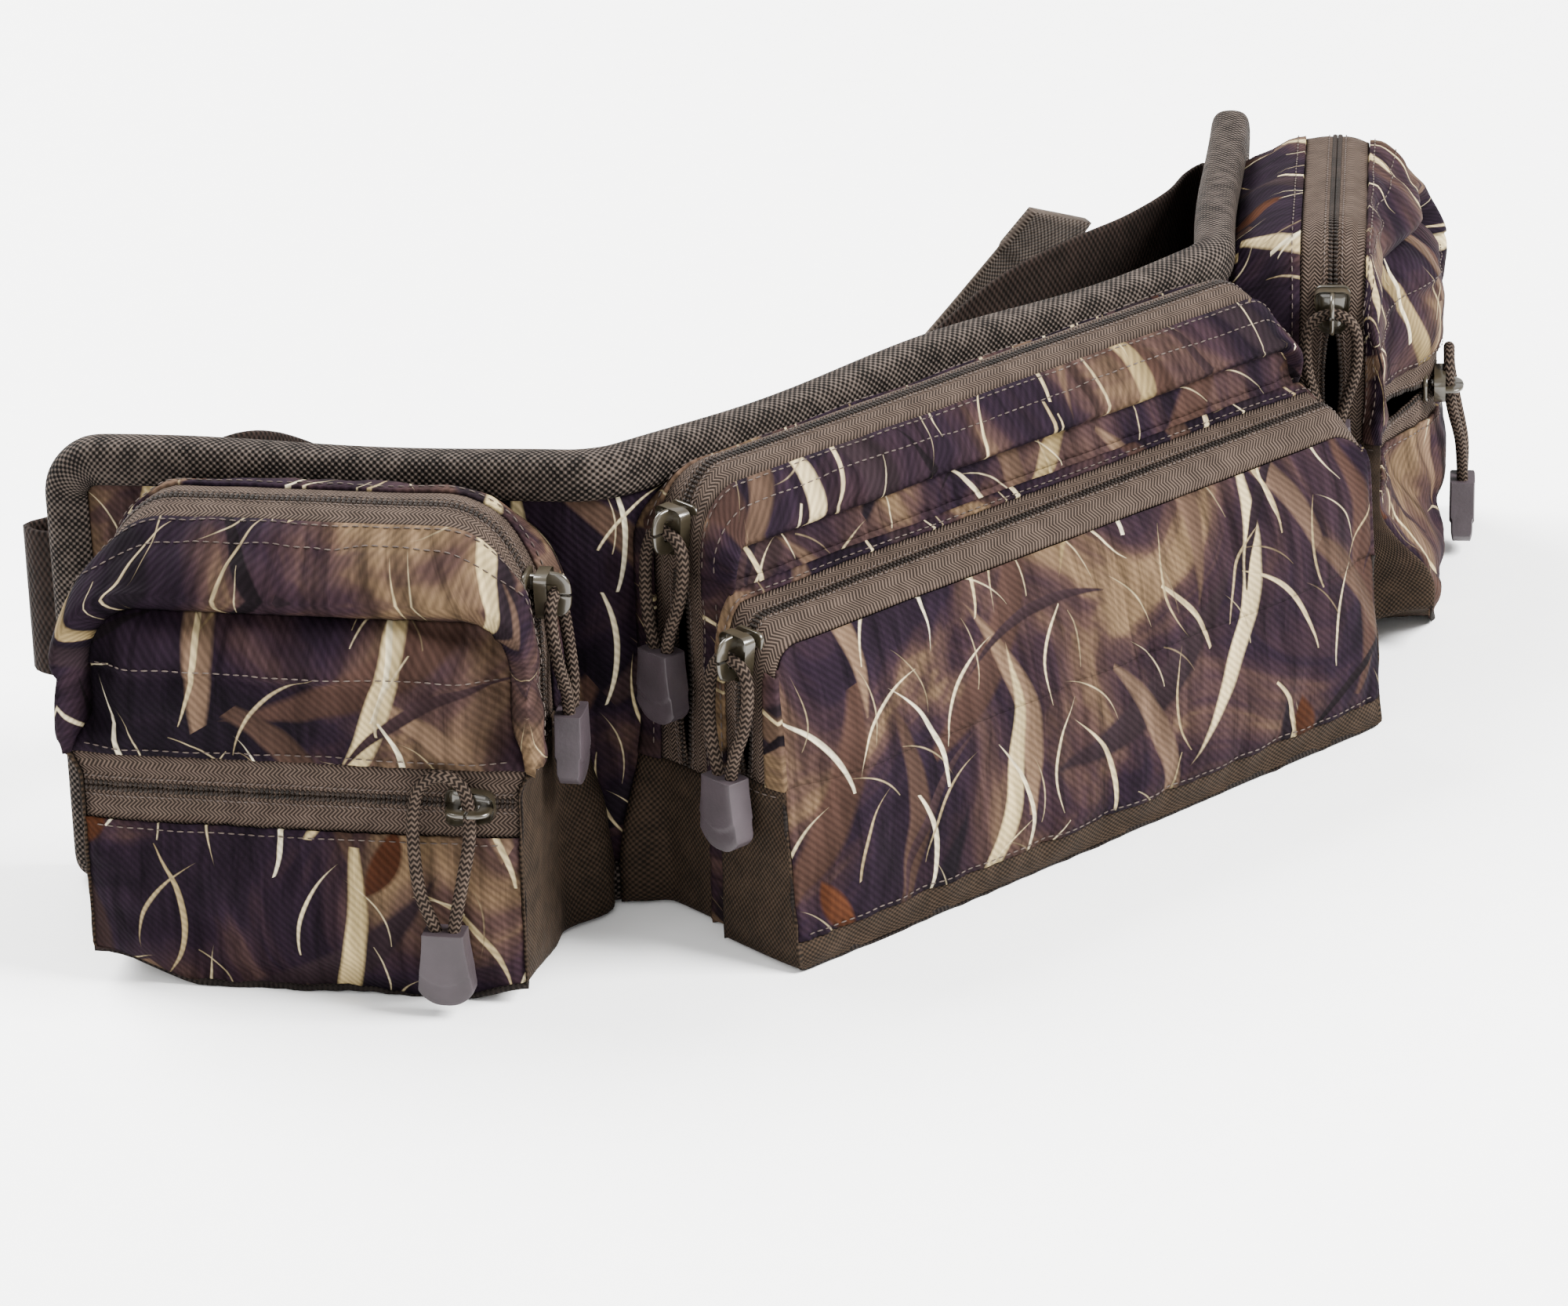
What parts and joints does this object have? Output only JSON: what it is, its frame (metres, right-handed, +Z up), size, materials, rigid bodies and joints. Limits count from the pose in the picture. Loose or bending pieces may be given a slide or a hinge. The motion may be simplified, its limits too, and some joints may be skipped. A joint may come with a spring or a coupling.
{
  "type": "waist pack",
  "caption": "Soft waist pack with a padded belt panel, zipped pouches that open at the top, looped zip pulls and a webbing belt with a side release buckle.",
  "frame": {"origin": "middle of the centre pouch's base, on the ground it stands on", "axes": "+X along the pack to the right as seen from the front, pouches face -Y, +Z up"},
  "size_m": [0.5921, 0.2387, 0.15],
  "materials": {
    "printed_cloth": "printed polyester cloth, brushed",
    "plain_cloth": "coarse plain weave",
    "zip_tape": "herringbone woven zip tape",
    "edge_binding": "woven edge binding",
    "belt_webbing": "woven webbing",
    "lining": "plain weave lining",
    "foam": "closed cell foam",
    "slider_metal": "gloss lacquer",
    "knitted_cord": "flat knit",
    "cord_end_plastic": "matt moulded",
    "buckle_plastic": "satin moulded"
  },
  "bodies": {
    "pack": {"outer_panel": "printed_cloth", "foam_pad": "foam", "lining": "lining", "edge_binding": "edge_binding", "left_lower_gusset": "plain_cloth", "left_back_gusset": "printed_cloth", "left_pocket_panel": "printed_cloth", "left_pocket_backing": "plain_cloth", "left_main_zip_tape": "zip_tape", "left_pocket_zip_tapes": "zip_tape", "right_lower_gusset": "plain_cloth", "right_back_gusset": "printed_cloth", "right_pocket_panel": "printed_cloth", "right_pocket_backing": "plain_cloth", "right_main_zip_tape": "zip_tape", "right_pocket_zip_tapes": "zip_tape", "centre_lower_gusset": "plain_cloth", "centre_back_gusset": "printed_cloth", "centre_front_wall": "printed_cloth", "centre_main_zip_tape": "zip_tape", "front_pocket_gusset": "plain_cloth", "front_pocket_panel": "printed_cloth", "front_pocket_zip_tape": "zip_tape", "left_strap": "belt_webbing", "right_strap": "belt_webbing", "buckle_socket": "buckle_plastic"},
    "left_lid": {"left_front_gusset": "printed_cloth", "left_front_panel": "printed_cloth", "left_lid_zip_tape": "zip_tape"},
    "left_main_slider": {"left_main_slider": "slider_metal"},
    "left_main_pull": {"left_main_pull_cord": "knitted_cord", "left_main_cord_end": "cord_end_plastic"},
    "left_pocket_slider": {"left_pocket_slider": "slider_metal"},
    "left_pocket_pull": {"left_pocket_pull_cord": "knitted_cord", "left_pocket_cord_end": "cord_end_plastic"},
    "right_lid": {"right_front_gusset": "printed_cloth", "right_front_panel": "printed_cloth", "right_lid_zip_tape": "zip_tape"},
    "right_main_slider": {"right_main_slider": "slider_metal"},
    "right_main_pull": {"right_main_pull_cord": "knitted_cord", "right_main_cord_end": "cord_end_plastic"},
    "right_pocket_slider": {"right_pocket_slider": "slider_metal"},
    "right_pocket_pull": {"right_pocket_pull_cord": "knitted_cord", "right_pocket_cord_end": "cord_end_plastic"},
    "centre_lid": {"centre_lid": "printed_cloth", "centre_lid_zip_tape": "zip_tape"},
    "front_pocket_lid": {"front_pocket_lid": "printed_cloth", "front_pocket_lid_zip_tape": "zip_tape"},
    "centre_main_slider": {"centre_main_slider": "slider_metal"},
    "centre_main_pull": {"centre_main_pull_cord": "knitted_cord", "centre_main_cord_end": "cord_end_plastic"},
    "front_pocket_slider": {"front_pocket_slider": "slider_metal"},
    "front_pocket_pull": {"front_pocket_pull_cord": "knitted_cord", "front_pocket_cord_end": "cord_end_plastic"},
    "buckle_plug": {"buckle_plug": "buckle_plastic", "strap_tail": "belt_webbing"}
  },
  "joints": [
    {"name": "left_lid_hinge", "type": "hinge", "parent": "pack", "child": "left_lid", "pos_m": [-0.24732, 0.04283, 0.0774], "axis": [0.6157, -0.788, 0], "range_deg": [0, 55]},
    {"name": "left_main_zip", "type": "slide", "parent": "pack", "child": "left_main_slider", "axis": [0, 0, -1], "range_m": [0, 0.035]},
    {"name": "left_main_pull_swing", "type": "hinge", "parent": "left_main_slider", "child": "left_main_pull", "pos_m": [-0.17315, 0.00636, 0.121], "axis": [-0.788, -0.6157, 0], "range_deg": [0, 20], "deforming": ["left_main_pull_cord"]},
    {"name": "left_pocket_zip", "type": "slide", "parent": "pack", "child": "left_pocket_slider", "axis": [-0.6157, 0.788, 0], "range_m": [0, 0.11]},
    {"name": "left_pocket_pull_swing", "type": "hinge", "parent": "left_pocket_slider", "child": "left_pocket_pull", "pos_m": [-0.21754, -0.00244, 0.066], "axis": [-0.6157, 0.788, 0], "range_deg": [0, 60], "deforming": ["left_pocket_pull_cord"]},
    {"name": "right_lid_hinge", "type": "hinge", "parent": "pack", "child": "right_lid", "pos_m": [0.24311, 0.02067, 0.0774], "axis": [0.7431, 0.6691, 0], "range_deg": [0, 55]},
    {"name": "right_main_zip", "type": "slide", "parent": "pack", "child": "right_main_slider", "axis": [0, 0, -1], "range_m": [0, 0.039]},
    {"name": "right_main_pull_swing", "type": "hinge", "parent": "right_main_slider", "child": "right_main_pull", "pos_m": [0.16373, -0.00236, 0.125], "axis": [-0.6691, 0.7431, 0], "range_deg": [0, 20], "deforming": ["right_main_pull_cord"]},
    {"name": "right_pocket_zip", "type": "slide", "parent": "pack", "child": "right_pocket_slider", "axis": [0.7431, 0.6691, 0], "range_m": [0, 0.04]},
    {"name": "right_pocket_pull_swing", "type": "hinge", "parent": "right_pocket_slider", "child": "right_pocket_pull", "pos_m": [0.25794, 0.02811, 0.066], "axis": [-0.7431, -0.6691, 0], "range_deg": [0, 60], "deforming": ["right_pocket_pull_cord"]},
    {"name": "centre_lid_hinge", "type": "hinge", "parent": "pack", "child": "centre_lid", "pos_m": [0, -0.022, 0.1182], "axis": [1, 0, 0], "range_deg": [0, 75]},
    {"name": "front_pocket_lid_hinge", "type": "hinge", "parent": "pack", "child": "front_pocket_lid", "pos_m": [0, -0.05072, 0.0602], "axis": [1, 0, 0], "range_deg": [0, 75]},
    {"name": "centre_main_zip", "type": "slide", "parent": "pack", "child": "centre_main_slider", "axis": [0, 0, -1], "range_m": [0, 0.07]},
    {"name": "centre_main_pull_swing", "type": "hinge", "parent": "centre_main_slider", "child": "centre_main_pull", "pos_m": [-0.1324, 0.001, 0.131], "axis": [0, 1, 0], "range_deg": [0, 20], "deforming": ["centre_main_pull_cord"]},
    {"name": "front_pocket_zip", "type": "slide", "parent": "pack", "child": "front_pocket_slider", "axis": [0, 0, -1], "range_m": [0, 0.031]},
    {"name": "front_pocket_pull_swing", "type": "hinge", "parent": "front_pocket_slider", "child": "front_pocket_pull", "pos_m": [-0.1384, -0.034, 0.101], "axis": [0, 1, 0], "range_deg": [0, 40], "deforming": ["front_pocket_pull_cord"]},
    {"name": "buckle_release", "type": "slide", "parent": "pack", "child": "buckle_plug", "axis": [1, 0, 0], "range_m": [0, 0.045], "deforming": ["right_strap"]}
  ]
}
